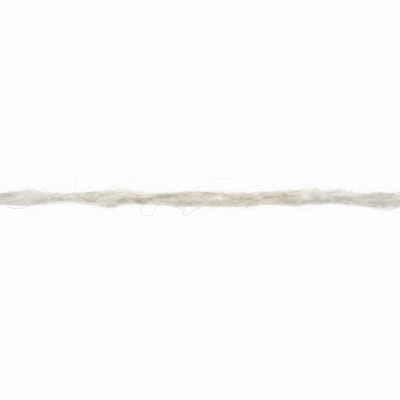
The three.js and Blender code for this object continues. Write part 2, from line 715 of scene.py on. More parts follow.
@dataclass(frozen=True)
class WoolFinish:
    """Undyed wool: pale, matt fibres whose tone varies from lock to lock and along the strand.

    Attributes:
        body_rows: tones and their colours, from a deep one to the palest.
        thin: colour of the tone -1, for thin fibres in the air: painted shade, grey as they look against
        the bright floor.
        straw: colour of the tone -1 among the tan ones, for bits of straw.
        core_shade_tint: tint of the core: painted shade, as the core shows only in the gaps between
            fibres.
        plain_tint: tint of most fibres.
        tan_tint: tint of the tan fibres.
        tint_rows: places along the strand in millimetres, with the tint there.
        roughness: the surface's roughness.
        specular: strength of its reflections.
    """

    body_rows: tuple[tuple[float, Colour], ...] = (
        (0.0, (0.72, 0.70, 0.65)), (0.5, (0.92, 0.90, 0.85)),
        (0.8, (0.95, 0.93, 0.88)), (1.0, (0.975, 0.965, 0.945)),
    )
    # Painted shade: wool in the air is drawn grey, as it looks against the bright floor
    thin: Colour = (0.38, 0.37, 0.34)
    straw: Colour = (0.56, 0.50, 0.36)
    # Painted shade: the core is darkened as the deep gaps between fibres are
    core_shade_tint: Colour = (0.76, 0.755, 0.745)
    plain_tint: Colour = (0.995, 0.998, 1.01)
    tan_tint: Colour = (0.998, 0.979, 0.935)
    tint_rows: tuple[tuple[float, Tint], ...] = (
        (-26.9, Tint.COOL), (-23.7, Tint.WARM), (-21.2, Tint.EVEN), (-17.8, Tint.EVEN),
        (-14.9, Tint.WARM), (19.5, Tint.WARM), (24.1, Tint.EVEN), (35.5, Tint.COOL),
        (43.5, Tint.EVEN),
    )
    roughness: float = 0.8
    specular: float = 0.1

    def make(self, part: WoolPart) -> bpy.types.Material:
        """Makes the wool's material.

        Args:
            part: the part of the yarn that it dresses.

        Returns:
            The material.
        """
        tree = NodeTree(part.value)
        place = tree.add("ShaderNodeUVMap", {"uv_map": MAP_NAME})
        tone = tree.add("ShaderNodeSeparateXYZ", inputs={0: place}, output="X")
        along = tree.add("ShaderNodeSeparateXYZ", inputs={0: place}, output="Y")
        tints = [(TONE_MAP.along(x * MM), tint.value) for x, tint in self.tint_rows]
        colour = tree.add("ShaderNodeValToRGB", {"stops": self._tones(part)}, {"Fac": tone})
        tint = tree.add("ShaderNodeValToRGB", {"stops": tints}, {"Fac": along})
        return tree.surface(
            {
                "Base Color": colour * tint,
                "Roughness": self.roughness,
                "Specular IOR Level": self.specular,
            }
        )

    def _tones(self, part: WoolPart) -> list[tuple[float, Colour]]:
        """Lists the colours of a part's tones.

        Args:
            part: the part of the yarn.

        Returns:
            Places on the map and colours there: plain tones, and for fibres then tan ones.
        """
        deep = self.body_rows[0][1]
        between = tuple((a + b) / 2 for a, b in zip(self.thin, deep))
        plain = ((-1.0, self.thin), *self.body_rows)
        tan = ((-1.0, self.straw), (-0.5, between), *self.body_rows)
        families = {
            WoolPart.CORE: ((0, plain, self.core_shade_tint),),
            WoolPart.FIBRE: ((0, plain, self.plain_tint), (1, tan, self.tan_tint)),
        }
        return [
            (TONE_MAP.tone(tone, family), tuple(a * b for a, b in zip(colour, tint)))
            for family, stops, tint in families[part]
            for tone, colour in stops
        ]


@dataclass(frozen=True)
class Streak:
    """A streak on the strand's upper side that differs in tone, its own or painted light and shade,
    or in its share of tan fibres.

    Attributes:
        start: its first point, in millimetres along and across the strand.
        stop: its last point.
        width: half its width in millimetres.
        change: the change of tone, or of the share.
    """

    start: tuple[float, float]
    stop: tuple[float, float]
    width: float
    change: float

    def at(self, points: np.ndarray) -> np.ndarray:
        """Reads the change, which fades out across the streak.

        Args:
            points: points of fibres.

        Returns:
            The change at each point.
        """
        start, stop = np.array(self.start) * MM, np.array(self.stop) * MM
        run = stop - start
        share = np.clip(((points[..., :2] - start) @ run) / (run @ run), 0, 1)
        away = np.linalg.norm(points[..., :2] - start - share[..., None] * run, axis=-1)
        return self.change * np.exp(-((away / (self.width * MM)) ** 2))


# Where the wool is paler or deeper: partly its own tone, partly painted shade in the creases
# between its twisted locks and painted light on them
STREAKS_AND_PAINTED_SHADE = (
    Streak((-43.5, 1.0), (-40.8, 1.0), 0.50, -0.28),
    Streak((-41.5, -0.6), (-39.6, -0.6), 0.35, -0.12),
    Streak((-43.5, 0.3), (-40.0, 0.4), 0.35, -0.16),
    Streak((-43.5, -0.9), (-41.0, -0.9), 0.35, -0.10),
    Streak((-37.8, 0.6), (-36.4, 0.9), 0.60, 0.08),
    Streak((-38.5, -0.6), (-36.6, -0.5), 0.35, -0.06),
    Streak((-39.3, -0.5), (-38.3, -0.5), 0.35, -0.15),
    Streak((-37.6, 1.7), (-36.6, 1.7), 0.30, -0.25),
    Streak((-36.0, -0.5), (-33.2, -0.5), 0.35, -0.38),
    Streak((-36.0, 1.4), (-29.5, 0.8), 0.35, 0.20),
    Streak((-32.0, 0.3), (-28.0, 0.0), 0.40, -0.28),
    Streak((-33.8, -0.1), (-31.9, -0.1), 0.35, -0.12),
    Streak((-31.2, -0.75), (-27.5, -0.65), 0.25, 0.25),
    Streak((-33.0, 0.9), (-26.5, 0.9), 0.35, 0.34),
    Streak((-28.9, 0.7), (-27.5, 0.6), 0.35, 0.22),
    Streak((-27.5, 0.4), (-25.0, 0.4), 0.40, -0.16),
    Streak((-26.8, -0.3), (-25.7, -0.3), 0.30, 0.14),
    Streak((-24.3, -0.25), (-22.7, -0.35), 0.37, -0.60),
    Streak((-23.6, 0.7), (-21.6, 0.7), 0.40, -0.12),
    Streak((-26.0, 0.75), (-23.5, 0.8), 0.30, -0.12),
    Streak((-25.5, -0.9), (-21.8, -1.15), 0.25, 0.20),
    Streak((-19.6, -1.3), (-18.4, -1.4), 0.50, -0.11),
    Streak((-22.4, -0.9), (-20.2, -1.0), 0.35, 0.14),
    Streak((-22.1, 1.4), (-20.6, 1.45), 0.30, 0.14),
    Streak((-22.0, -0.1), (-21.2, -0.1), 0.35, -0.15),
    Streak((-18.4, 0.35), (-16.9, 0.35), 0.35, 0.26),
    Streak((-20.8, -0.3), (-19.9, -0.3), 0.30, 0.10),
    Streak((-20.6, 0.9), (-18.6, 0.9), 0.45, -0.14),
    Streak((-17.5, -0.45), (-16.2, -0.45), 0.40, -0.41),
    Streak((-16.0, 0.0), (-14.6, 0.1), 0.40, -0.35),
    Streak((-13.6, -0.05), (-10.6, -0.2), 0.45, -0.60),
    Streak((-16.5, 1.4), (-11.0, 1.1), 0.40, 0.38),
    Streak((-16.0, 1.0), (-12.6, 0.95), 0.35, 0.39),
    Streak((-12.9, -0.7), (-11.5, -0.8), 0.35, -0.20),
    Streak((-11.0, 0.3), (-4.5, 0.3), 0.35, -0.15),
    Streak((-8.9, 0.6), (-5.2, 0.85), 0.45, -0.42),
    Streak((-9.0, -0.3), (-5.5, -0.3), 0.30, -0.08),
    Streak((-8.2, -0.7), (-4.3, -0.75), 0.35, -0.14),
    Streak((-9.0, -1.3), (-5.5, -1.4), 0.35, 0.08),
    Streak((-4.5, -0.6), (-3.9, -0.8), 0.35, -0.35),
    Streak((-3.4, 1.1), (-1.8, 1.0), 0.35, -0.32),
    Streak((-4.5, 0.7), (-3.3, 0.7), 0.35, -0.20),
    Streak((-4.6, 0.1), (-3.1, 0.15), 0.35, 0.20),
    Streak((-4.4, -1.5), (-2.0, -1.55), 0.30, -0.26),
    Streak((-1.4, 0.05), (-0.5, 0.0), 0.35, 0.26),
    Streak((-4.6, 1.1), (-1.3, 1.1), 0.35, -0.14),
    Streak((0.7, 1.15), (3.0, 1.2), 0.35, -0.14),
    Streak((-13.3, -0.8), (-12.1, -0.85), 0.33, -0.66),
    Streak((-3.0, -0.9), (-2.0, -1.0), 0.30, -0.40),
    Streak((-1.6, -0.6), (0.2, -0.6), 0.40, -0.25),
    Streak((1.5, 1.1), (1.9, 1.0), 0.35, -0.24),
    Streak((2.2, 0.1), (4.6, 0.5), 0.35, 0.18),
    Streak((2.3, -0.8), (3.8, -0.7), 0.35, -0.20),
    Streak((0.6, -0.95), (1.7, -0.95), 0.30, -0.12),
    Streak((1.2, 0.75), (4.2, 0.75), 0.30, -0.10),
    Streak((5.0, 0.7), (6.2, 0.8), 0.35, -0.34),
    Streak((3.0, 1.0), (8.4, 0.95), 0.30, -0.12),
    Streak((6.8, 0.25), (8.9, 0.2), 0.45, -0.33),
    Streak((8.6, -1.0), (11.0, -1.0), 0.45, -0.08),
    Streak((7.5, 1.35), (10.5, 1.25), 0.30, -0.06),
    Streak((10.2, 1.2), (12.6, 1.15), 0.30, 0.18),
    Streak((10.6, 0.0), (12.4, -0.4), 0.40, -0.38),
    Streak((12.0, 0.9), (13.3, -0.4), 0.20, 0.24),
    Streak((13.7, 0.4), (15.8, 0.5), 0.40, -0.23),
    Streak((15.6, -0.85), (16.8, -0.9), 0.40, -0.24),
    Streak((11.4, -1.3), (12.4, -1.25), 0.25, -0.14),
    Streak((13.4, -0.95), (15.4, -0.95), 0.30, 0.14),
    Streak((16.5, 0.4), (17.6, 0.0), 0.40, -0.20),
    Streak((18.1, 0.9), (20.0, 0.75), 0.35, -0.52),
    Streak((18.3, -0.5), (20.0, -0.5), 0.45, -0.40),
    Streak((19.6, 1.3), (21.4, 1.3), 0.35, 0.10),
    Streak((20.5, 0.9), (22.0, 1.0), 0.30, -0.12),
    Streak((20.5, 0.1), (21.6, 0.1), 0.30, -0.12),
    Streak((25.6, -0.3), (26.8, -0.3), 0.30, 0.12),
    Streak((18.5, -1.0), (22.5, -0.9), 0.40, -0.06),
    Streak((22.2, 1.2), (22.8, 0.1), 0.30, 0.48),
    Streak((21.4, 1.6), (23.5, 1.65), 0.30, 0.26),
    Streak((22.0, -0.5), (24.0, -0.5), 0.35, -0.30),
    Streak((24.8, -0.1), (25.4, -0.2), 0.30, -0.40),
    Streak((27.0, -0.3), (27.6, -0.3), 0.25, -0.30),
    Streak((29.2, 0.0), (32.4, 0.0), 0.40, -0.34),
    Streak((24.5, -0.3), (30.0, -0.5), 0.40, -0.25),
    Streak((30.0, -0.5), (35.0, -0.7), 0.45, -0.12),
    Streak((31.2, -1.0), (31.8, -1.05), 0.27, -0.48),
    Streak((27.0, 1.4), (30.8, 1.5), 0.50, 0.44),
    Streak((24.5, 1.4), (26.0, 1.4), 0.45, 0.10),
    Streak((24.6, 0.5), (29.6, 0.7), 0.30, -0.08),
    Streak((33.3, 0.9), (34.2, 0.8), 0.35, 0.22),
    Streak((30.5, 0.95), (34.0, 0.75), 0.30, -0.12),
    Streak((24.5, 0.7), (29.5, 0.8), 0.45, -0.09),
    Streak((-21.5, 1.0), (-17.5, 1.1), 0.45, -0.09),
    Streak((-40.2, 0.75), (-39.2, 0.75), 0.30, -0.12),
    Streak((-39.2, -0.7), (-38.2, -0.7), 0.30, -0.10),
    Streak((-31.8, -0.3), (-26.8, -0.3), 0.28, -0.11),
    Streak((6.2, 0.35), (7.1, 0.35), 0.30, 0.10),
    Streak((25.7, 1.55), (27.2, 1.6), 0.30, -0.14),
    Streak((29.2, 1.6), (30.5, 1.55), 0.35, 0.30),
    Streak((37.8, -0.7), (40.0, -0.7), 0.30, 0.08),
    Streak((32.8, -0.4), (34.2, -0.5), 0.30, -0.15),
    Streak((32.8, -1.1), (33.9, -1.15), 0.30, 0.14),
    Streak((38.9, 1.0), (41.5, 1.05), 0.45, -0.53),
    Streak((42.6, 0.5), (43.4, 0.5), 0.35, -0.12),
    Streak((37.0, 0.2), (41.0, 0.2), 0.30, -0.27),
    Streak((33.8, 0.5), (36.8, 0.55), 0.35, -0.17),
    Streak((35.7, -0.1), (36.8, -0.1), 0.30, -0.15),
    Streak((39.0, -1.35), (43.0, -1.2), 0.35, -0.10),
    Streak((39.6, -0.2), (41.3, -0.2), 0.25, 0.28),
    Streak((36.2, -0.8), (39.6, -0.9), 0.40, -0.28),
    Streak((42.5, -0.7), (43.4, -0.65), 0.35, -0.28),
    Streak((38.0, -1.6), (40.5, -1.7), 0.35, -0.10),
)

# Where more or fewer of the fibres are tan
TAN_PATCHES = (
    Streak((-43.0, 0.0), (-41.0, 0.1), 0.40, 0.35),
    Streak((-37.8, 1.6), (-35.0, 0.7), 0.45, 0.55),
    Streak((-24.5, -0.1), (-21.5, 0.4), 0.60, 0.65),
    Streak((-20.8, -1.2), (-18.3, -1.2), 0.80, -0.50),
    Streak((-17.5, -0.3), (-16.0, -0.3), 0.50, 0.25),
    Streak((-13.8, -0.5), (-11.8, -0.5), 0.60, 0.55),
    Streak((-8.0, 0.9), (-5.0, 0.9), 0.40, -0.45),
    Streak((-4.0, 1.1), (-2.4, 1.0), 0.40, 0.45),
    Streak((-3.4, -0.9), (-1.8, -1.0), 0.40, 0.60),
    Streak((-1.2, -0.6), (4.0, -0.9), 0.50, -0.45),
    Streak((5.0, 0.6), (12.5, -0.1), 0.60, 0.45),
    Streak((7.0, -1.1), (9.5, -1.1), 0.35, -0.30),
    Streak((13.5, 0.4), (20.0, 0.2), 0.70, 0.50),
    Streak((22.2, 1.2), (22.8, 0.1), 0.50, -0.50),
    Streak((28.0, -0.1), (32.0, -0.1), 0.40, 0.25),
    Streak((32.5, 0.9), (41.5, 1.1), 0.50, -0.45),
    Streak((39.5, -0.2), (42.5, -0.2), 0.35, 0.70),
)


@dataclass
class Tones:
    """The strand's tones: its streaks, partly painted light and shade, a fine grain, its tan fibres,
    painted light and shade across it, and painted shade on loose fibres clear of it.

    Attributes:
        form: the strand's outer form.
        level_rows: places along the strand in millimetres, with the change of tone there.
        grain_rows: places along it, with the strength of the grain there.
        grain_lengths: the grain's shortest and longest wave.
        grain_stretch: how much longer the grain is along the strand than across.
        grain_height: how much longer it is upwards than across.
        tan_rows: places along the strand, with the share of tan fibres there.
        tan_across_rows: places across the dense body, from 0 at its near edge to 1 at its far
            one, with the part of that share left there.
        painted_light_across_rows: places across the dense body, with the change of tone there: painted
        shade towards the near edge and painted light towards the far one, as if lit from the far side.
        strength: how strongly the streaks show.
        low: the height up to which they are faint.
        high: the height from which they show fully.
        low_share: how much of them shows low down.
        deepest: the deepest tone of the dense body.
        palest: its palest tone.
        painted_shade_rows: places along the strand, with how much painted shade darkens loose fibres
            there that stand clear of the dense body, as thin fibres look grey against the bright floor.
        painted_shade_width: how far clear of it they get their full painted shade.
        painted_shade_start: how far inside the far edge that starts, as a share of the body's width.
        loose_share: share of the streaks and grain that loose fibres over the body take on.
        seed: seed of the random source.
        rng: the random source.
        grain: the grain.
    """

    form: StrandForm
    level_rows: Rows = (
        (-43.0, -0.17), (-39.5, -0.11), (-37.0, -0.04), (-32.0, 0.06), (-27.0, 0.00),
        (-20.0, -0.11), (-13.0, -0.06), (-5.0, -0.14), (5.0, -0.14), (13.0, -0.08),
        (22.0, -0.07), (32.0, -0.04), (37.0, -0.10), (42.0, -0.12), (50.0, -0.05),
    )
    grain_rows: Rows = (
        (-40.0, 0.06), (-30.0, 0.08), (-25.0, 0.13), (-15.0, 0.13), (-10.0, 0.08), (8.0, 0.08),
        (13.0, 0.09), (30.0, 0.09), (35.0, 0.04),
    )
    grain_lengths: tuple[float, float] = (0.4 * MM, 0.9 * MM)
    grain_stretch: float = 1.3
    grain_height: float = 4.0
    tan_rows: Rows = (
        (-40.0, 0.25), (-26.0, 0.30), (-16.0, 0.50), (20.0, 0.50), (26.0, 0.35), (36.0, 0.30),
    )
    tan_across_rows: Rows = (
        (0.0, 0.0), (0.1, 0.3), (0.3, 1.0), (0.65, 1.0), (0.8, 0.5), (0.95, 0.0),
    )
    painted_light_across_rows: Rows = (
        (0.0, -0.15), (0.1, -0.17), (0.2, -0.16), (0.35, -0.18), (0.45, -0.17), (0.55, -0.08),
        (0.65, 0.06), (0.75, 0.28), (0.85, 0.34), (0.93, 0.18), (1.0, 0.0),
    )
    strength: float = 1.35
    low: float = 0.7 * MM
    high: float = 1.5 * MM
    low_share: float = 0.3
    deepest: float = -0.25
    palest: float = 0.92
    painted_shade_rows: Rows = (
        (-33.0, 0.85), (-31.5, 0.45), (-27.5, 0.45), (-26.0, 0.85), (11.0, 0.85), (12.5, 0.45),
        (14.0, 0.45), (15.5, 0.85),
    )
    painted_shade_width: float = 0.4 * MM
    painted_shade_start: float = 0.10
    loose_share: float = 0.6
    seed: int = 19
    rng: Rng = field(init=False)
    grain: Mottle = field(init=False)

    def __post_init__(self) -> None:
        """Draws the grain."""
        self.rng = np.random.default_rng(self.seed)
        self.grain = Mottle(self.rng, *self.grain_lengths, self.grain_stretch, self.grain_height)

    def _across(self, rows: Rows, points: np.ndarray) -> np.ndarray:
        """Reads rows of places across the dense body and of values there, at points."""
        places, values = np.array(rows).T
        return np.interp(self.form.across(points), places, values)

    def change(self, points: np.ndarray) -> np.ndarray:
        """Works out the change of tone that streaks (partly painted light and shade), grain and level
        bring.

        Args:
            points: the fibres' points.

        Returns:
            The change at each point.
        """
        x, height = points[..., 0], points[..., 2]
        seen = np.clip((height - self.low) / (self.high - self.low), 0, 1)
        seen = self.low_share + (1 - self.low_share) * seen
        streaks = self.strength * seen * sum(streak.at(points) for streak in STREAKS_AND_PAINTED_SHADE)
        grain = read_rows(self.grain_rows, x) * self.grain.at(points)
        return streaks + grain + read_rows(self.level_rows, x)

    def tan(self, points: np.ndarray) -> np.ndarray:
        """Draws which of the fibres are tan ones.

        Args:
            points: the fibres' points.

        Returns:
            Whether each fibre is a tan one.
        """
        middle = points[:, points.shape[1] // 2]
        share = read_rows(self.tan_rows, middle[:, 0])
        share = share + sum(patch.at(middle) for patch in TAN_PATCHES)
        share = share * self._across(self.tan_across_rows, middle)
        return self.rng.uniform(0, 1, len(middle)) < share

    def body(self, usual: np.ndarray, points: np.ndarray) -> np.ndarray:
        """Works out the tones of the dense body's fibres, with painted light and shade across it.

        Args:
            usual: each fibre's own tone.
            points: the fibres' points.

        Returns:
            The tone at each point.
        """
        # Painted shade towards the near edge, painted light towards the far one
        tone = usual + self.change(points) + self._across(self.painted_light_across_rows, points)
        return np.clip(tone, self.deepest, self.palest)

    def loose(self, usual: np.ndarray, points: np.ndarray) -> np.ndarray:
        """Works out the tones of loose fibres, with painted shade on those that stand clear of the dense
        body.

        Args:
            usual: each fibre's own tone.
            points: the fibres' points.

        Returns:
            The tone at each point.
        """
        clear = np.clip(self.form.clear(points, self.painted_shade_start) / self.painted_shade_width, 0, 1)
        over = usual + self.loose_share * self.change(points)
        # Painted shade on the fibres that stand clear of the dense body
        return over * (1 - clear) + (usual - read_rows(self.painted_shade_rows, points[..., 0])) * clear


class YarnLayer(ABC):
    """A layer of the yarn, which builds its pieces and dresses them."""

    @abstractmethod
    def build(self) -> list[bpy.types.Object]:
        """Makes the layer's pieces and returns them."""

    def dressed(self, material: bpy.types.Material) -> list[bpy.types.Object]:
        """Builds the layer, gives its pieces their finish and ties them to the strand.

        Args:
            material: the finish.

        Returns:
            The pieces.
        """
        pieces = self.build()
        for piece in pieces:
            piece.data.materials.append(material)
            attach(piece, BODY)
            LOG.info("%s: %d faces", piece.name, len(piece.data.polygons))
        return pieces


@dataclass
class YarnCore(YarnLayer):
    """The tight middle of the strand, a ridged tube whose rows follow the twist.

    Attributes:
        form: the strand's outer form.
        tones: the strand's tones.
        step: distance between rings.
        sides: points around a ring.
        share: the core's reach, as a share of the dense body's.
        ridge: height of its fine ridges, as a share of the dense body's reach.
        ridge_crimp: how the ridges swell and fade along their rows.
        tone: usual tone of the core.
        streak: how much paler its ridges are: painted light on the ridges, painted shade in the grooves.
        cap_shade_tone: tone in the middle of its end faces, a deep painted shade among the fibre ends.
        inset: how far its ends lie behind the cut.
        end_loss: how much narrower it is at its ends, as a share.
        end_length: the length over which it narrows.
        lowest: its least height over the floor.
        far_thinning: how far its far side is drawn in, as a share of the reach.
        path_points: points of the path along its middle.
        seed: seed of the random source.
    """

    form: StrandForm
    tones: Tones
    step: float = 0.25 * MM
    sides: int = 120
    share: float = 0.88
    ridge: float = 0.03
    ridge_crimp: Crimp = Crimp(1.0, 3 * MM, 9 * MM)
    tone: float = 0.48
    streak: float = 0.05
    cap_shade_tone: float = 0.045
    inset: float = 0.2 * MM
    end_loss: float = 0.08
    end_length: float = 0.5 * MM
    lowest: float = 0.03 * MM
    far_thinning: float = 0.28
    path_points: int = 41
    seed: int = 11

    def build(self) -> list[bpy.types.Object]:
        """Makes the core.

        Returns:
            Its one piece.
        """
        reach = HALF_LENGTH - self.inset
        rings = int(2 * reach / self.step) + 1
        x = np.linspace(-reach, reach, rings)[:, None]
        ridges = self._ridges(x)
        ends = 1 - self.end_loss * np.exp(-(((reach - np.abs(x)) / self.end_length) ** 2))
        share = (self.share + self.ridge * ridges) * ends
        x = np.broadcast_to(x, share.shape)
        angle = np.arange(self.sides) * TURN / self.sides + self.form.twist(x)
        share = share * (1 - self.far_thinning * self.form.far_side(x, angle))
        points = self.form.dense(x, angle, share)
        points[:, :, 2] = np.maximum(points[:, :, 2], self.lowest)
        # Paler ridges and deeper grooves: painted light and shade of the core's relief
        tones = self.tones.body(self.tone + self.streak * ridges, points)
        return [self._tube(points, tones)]

    def _ridges(self, x: np.ndarray) -> np.ndarray:
        """Makes fine ridges that swell and fade along the rows.

        Args:
            x: places of the rings.

        Returns:
            Heights from about -1 to 1, by ring and column, softened from row to row.
        """
        rng = np.random.default_rng(self.seed)
        rows = np.broadcast_to(x.T, (self.sides, len(x)))
        ridges = self.ridge_crimp.drawn(rng, self.sides).at(rows).T
        return (np.roll(ridges, 1, axis=1) + 2 * ridges + np.roll(ridges, -1, axis=1)) / 3

    def _tube(self, points: np.ndarray, tones: np.ndarray) -> bpy.types.Object:
        """Makes a closed tube from its rings.

        Args:
            points: the points, by ring, column and axis.
            tones: the tone at each point.

        Returns:
            The piece, mapped by tone and place along the strand.
        """
        rings, sides, _ = points.shape
        ring = (np.arange(rings - 1) * sides)[:, None]
        near = np.arange(sides)
        far = (near + 1) % sides
        walls = np.stack([ring + near, ring + far, ring + sides + far, ring + sides + near], axis=-1)
        last = (rings - 1) * sides
        middle = np.full(sides, rings * sides)
        start_caps = np.stack([middle, far, near], axis=-1)
        end_caps = np.stack([middle + 1, last + near, last + far], axis=-1)
        faces = [walls.reshape(-1, 4), start_caps, end_caps]
        points = np.concatenate([points.reshape(-1, 3), points[[0, -1]].mean(axis=1)])
        # Painted shade in the middle of the cut faces
        tones = np.append(tones, (self.cap_shade_tone, self.cap_shade_tone))
        places = np.stack([TONE_MAP.tone(tones), TONE_MAP.along(points[:, 0])], axis=-1)
        corners = np.concatenate([group.reshape(-1) for group in faces])
        return make_piece("yarn_core", points, faces, places[corners])

    def path(self) -> list[tuple[float, ...]]:
        """Returns the points of the strand's middle, from one cut end to the other."""
        x = np.linspace(-HALF_LENGTH, HALF_LENGTH, self.path_points)
        return [tuple(map(float, point)) for point in np.stack([x, *self.form.middle(x)], axis=-1)]


@dataclass(kw_only=True)
class FibreLayer(YarnLayer):
    """A layer of fibres that are drawn at random.

    Attributes:
        form: the strand's outer form.
        points: points along one fibre.
        thinnest: the least radius of a fibre.
        thickest: the greatest radius of a fibre.
        tip_loss: the share of its radius that a fibre loses at its tips.
        tip_power: how late it thins towards them.
        tone: usual tone of a fibre.
        tone_spread: how much that differs from fibre to fibre.
        seed: seed of the random source.
    """

    form: StrandForm
    points: int
    thinnest: float = 0.013 * MM
    thickest: float = 0.020 * MM
    tip_loss: float = 0.7
    tip_power: float = 6.0
    tone: float = 0.50
    tone_spread: float = 0.10
    seed: int

    def _radii(self, rng: Rng, t: np.ndarray, count: int) -> np.ndarray:
        """Draws the fibres' radii.

        Args:
            rng: the random source.
            t: places along the fibres, from 0 to 1.
            count: the number of fibres.

        Returns:
            The radius at each place.
        """
        radius = rng.uniform(self.thinnest, self.thickest, (count, 1))
        return tapered(radius, t, self.tip_loss, self.tip_power)

    def _own_tones(self, rng: Rng, count: int) -> np.ndarray:
        """Draws each fibre's own tone."""
        return rng.normal(self.tone, self.tone_spread, (count, 1))


@dataclass(frozen=True)
class Locks:
    """Small locks of fibres.

    Attributes:
        middle: places of their middles along the strand.
        length: their lengths.
        away: their distances from the strand's middle, as shares of the dense body's reach.
        turn: their directions, before the twist.
        tone: their tones.
        crimp: their waves around the strand, and in and out.
        fine: their short waves, likewise.
    """

    middle: np.ndarray
    length: np.ndarray
    away: np.ndarray
    turn: np.ndarray
    tone: np.ndarray
    crimp: list[Waves]
    fine: list[Waves]


@dataclass(kw_only=True)
class FibreBundle(FibreLayer):
    """The dense body: small crimped locks that fill the strand and follow its twist.

    Attributes:
        tones: the strand's tones.
        pieces: meshes that the locks are shared out to.
        locks: locks in one mesh.
        fibres: fibres in one lock.
        shortest: the shortest usual fibre of a lock.
        longest: the longest usual fibre of a lock.
        length_shares: the least and greatest length of its fibres, as shares of the usual one.
        overrun: the length over which the locks' middles lie, as a share of the strand's.
        inner: the least distance of a lock from the middle, as a share of the dense body's reach.
        depth: how much further out the outermost locks lie.
        crowding: how evenly they lie between; less crowds them outwards.
        far_share: the share of the locks that lie on the far side.
        far_spread: how far those lie from its middle, in radians.
        middle_spread: how far a lock's fibres are shifted along it.
        lock_spread: how far they spread around the strand, in radians.
        away_spread: how far they spread in and out, as a share of the reach.
        lock_crimp: the waves that a lock's fibres share.
        lock_slip: how far those are shifted from fibre to fibre.
        lock_lift: how strongly they move in and out.
        fine_crimp: a lock's short waves.
        fine_slip: how far those are shifted from fibre to fibre.
        fine_lift: how strongly they move in and out.
        fibre_crimp: each fibre's own waves.
        splay: how far fibres spread at the cut ends, as a share of the reach.
        splay_length: the length over which they do.
        free: the distance from the middle up to which fibres lie freely.
        slack: the most that they go past it.
        lump: height of the lumps, as a share of the reach.
        lump_lengths: the lumps' shortest and longest wave.
        lump_stretch: how much longer the lumps are along the strand than across.
        lock_tone_spread: how much the tone differs from lock to lock.
    """

    tones: Tones
    pieces: int = 3
    locks: int = 250
    fibres: int = 10
    points: int = 10
    shortest: float = 1.8 * MM
    longest: float = 4.2 * MM
    length_shares: tuple[float, float] = (0.75, 1.25)
    overrun: float = 1.08
    inner: float = 0.80
    depth: float = 0.18
    crowding: float = 0.7
    far_share: float = 0.4
    far_spread: float = 0.7
    middle_spread: float = 0.9 * MM
    lock_spread: float = 0.25
    away_spread: float = 0.05
    lock_crimp: Crimp = Crimp(0.28, 1.7 * MM, 4 * MM)
    lock_slip: float = 0.25 * MM
    lock_lift: float = 0.2
    fine_crimp: Crimp = Crimp(0.10, 0.8 * MM, 1.6 * MM)
    fine_slip: float = 0.1 * MM
    fine_lift: float = 0.3
    fibre_crimp: Crimp = Crimp(0.10, 1.8 * MM, 5 * MM)
    splay: float = 0.10
    splay_length: float = 0.8 * MM
    free: float = 0.90
    slack: float = 0.18
    lump: float = 0.03
    lump_lengths: tuple[float, float] = (0.9 * MM, 2.6 * MM)
    lump_stretch: float = 1.5
    thinnest: float = 0.015 * MM
    thickest: float = 0.024 * MM
    tip_loss: float = 0.6
    tip_power: float = 8.0
    tone: float = 0.48
    tone_spread: float = 0.06
    lock_tone_spread: float = 0.04
    seed: int = 23

    def build(self) -> list[bpy.types.Object]:
        """Makes the bundle.

        Returns:
            Its pieces.
        """
        rng = np.random.default_rng(self.seed)
        lumps = Mottle(rng, *self.lump_lengths, self.lump_stretch)
        return [self._sheaf(rng, lumps).joined(f"yarn_fibres_{k + 1}") for k in range(self.pieces)]

    def _draw_locks(self, rng: Rng) -> Locks:
        """Draws the locks of one mesh.

        Args:
            rng: the random source.

        Returns:
            The locks.
        """
        count = self.locks
        spread = (np.arange(count) + rng.uniform(0, 1, count)) / count
        middle = (spread - 0.5) * self.overrun * STRAND_LENGTH
        length = rng.uniform(self.shortest, self.longest, count)
        away = self.inner + self.depth * rng.uniform(0, 1, count) ** self.crowding
        far = rng.uniform(0, 1, count) < self.far_share
        far_turn = rng.normal(0, self.far_spread, count)
        turn = np.where(far, far_turn, rng.uniform(0, TURN, count)) - self.form.twist(middle)
        tone = rng.normal(self.tone, self.lock_tone_spread, count)
        crimp = [self.lock_crimp.drawn(rng, count) for _ in range(2)]
        fine = [self.fine_crimp.drawn(rng, count) for _ in range(2)]
        return Locks(middle, length, away, turn, tone, crimp, fine)

    def _sheaf(self, rng: Rng, lumps: Mottle) -> FibreSheaf:
        """Lays the fibres of one mesh.

        Args:
            rng: the random source.
            lumps: the lumps of the dense body.

        Returns:
            The fibres.
        """
        locks = self._draw_locks(rng)
        owner = np.repeat(np.arange(self.locks), self.fibres)
        lengths = locks.length[owner] * rng.uniform(*self.length_shares, len(owner))
        middles = locks.middle[owner] + rng.normal(0, self.middle_spread, len(owner))
        run, left = FibreRun.drawn(rng, middles, lengths, self.points)
        owner, x = owner[left], run.x
        each = (len(owner), 1)
        shift = rng.normal(0, self.lock_spread, each)
        shift = shift + locks.crimp[0].picked(owner).at(x + rng.normal(0, self.lock_slip, each))
        shift = shift + locks.fine[0].picked(owner).at(x + rng.normal(0, self.fine_slip, each))
        shift = shift + self.fibre_crimp.drawn(rng, len(owner)).at(x)
        away = locks.away[owner, None] + rng.normal(0, self.away_spread, each)
        away = away + self.lock_lift * locks.crimp[1].picked(owner).at(x)
        away = away + self.fine_lift * locks.fine[1].picked(owner).at(x)
        angle = locks.turn[owner, None] + shift + self.form.twist(x)
        splay = 1 + self.splay * np.exp((np.abs(x) - HALF_LENGTH) / self.splay_length)
        share = held_in(away, self.free, self.slack) * splay * self.form.thinned(rng, x, angle)
        swelling = 1 + self.lump * lumps.at(self.form.dense(x, angle, share))
        lines = self.form.dense(x, angle, share * swelling)
        radii = self._radii(rng, run.t, len(owner))
        own = locks.tone[owner, None] + rng.normal(0, self.tone_spread, each)
        return FibreSheaf(lines, radii, self.tones.body(own, lines), self.tones.tan(lines))


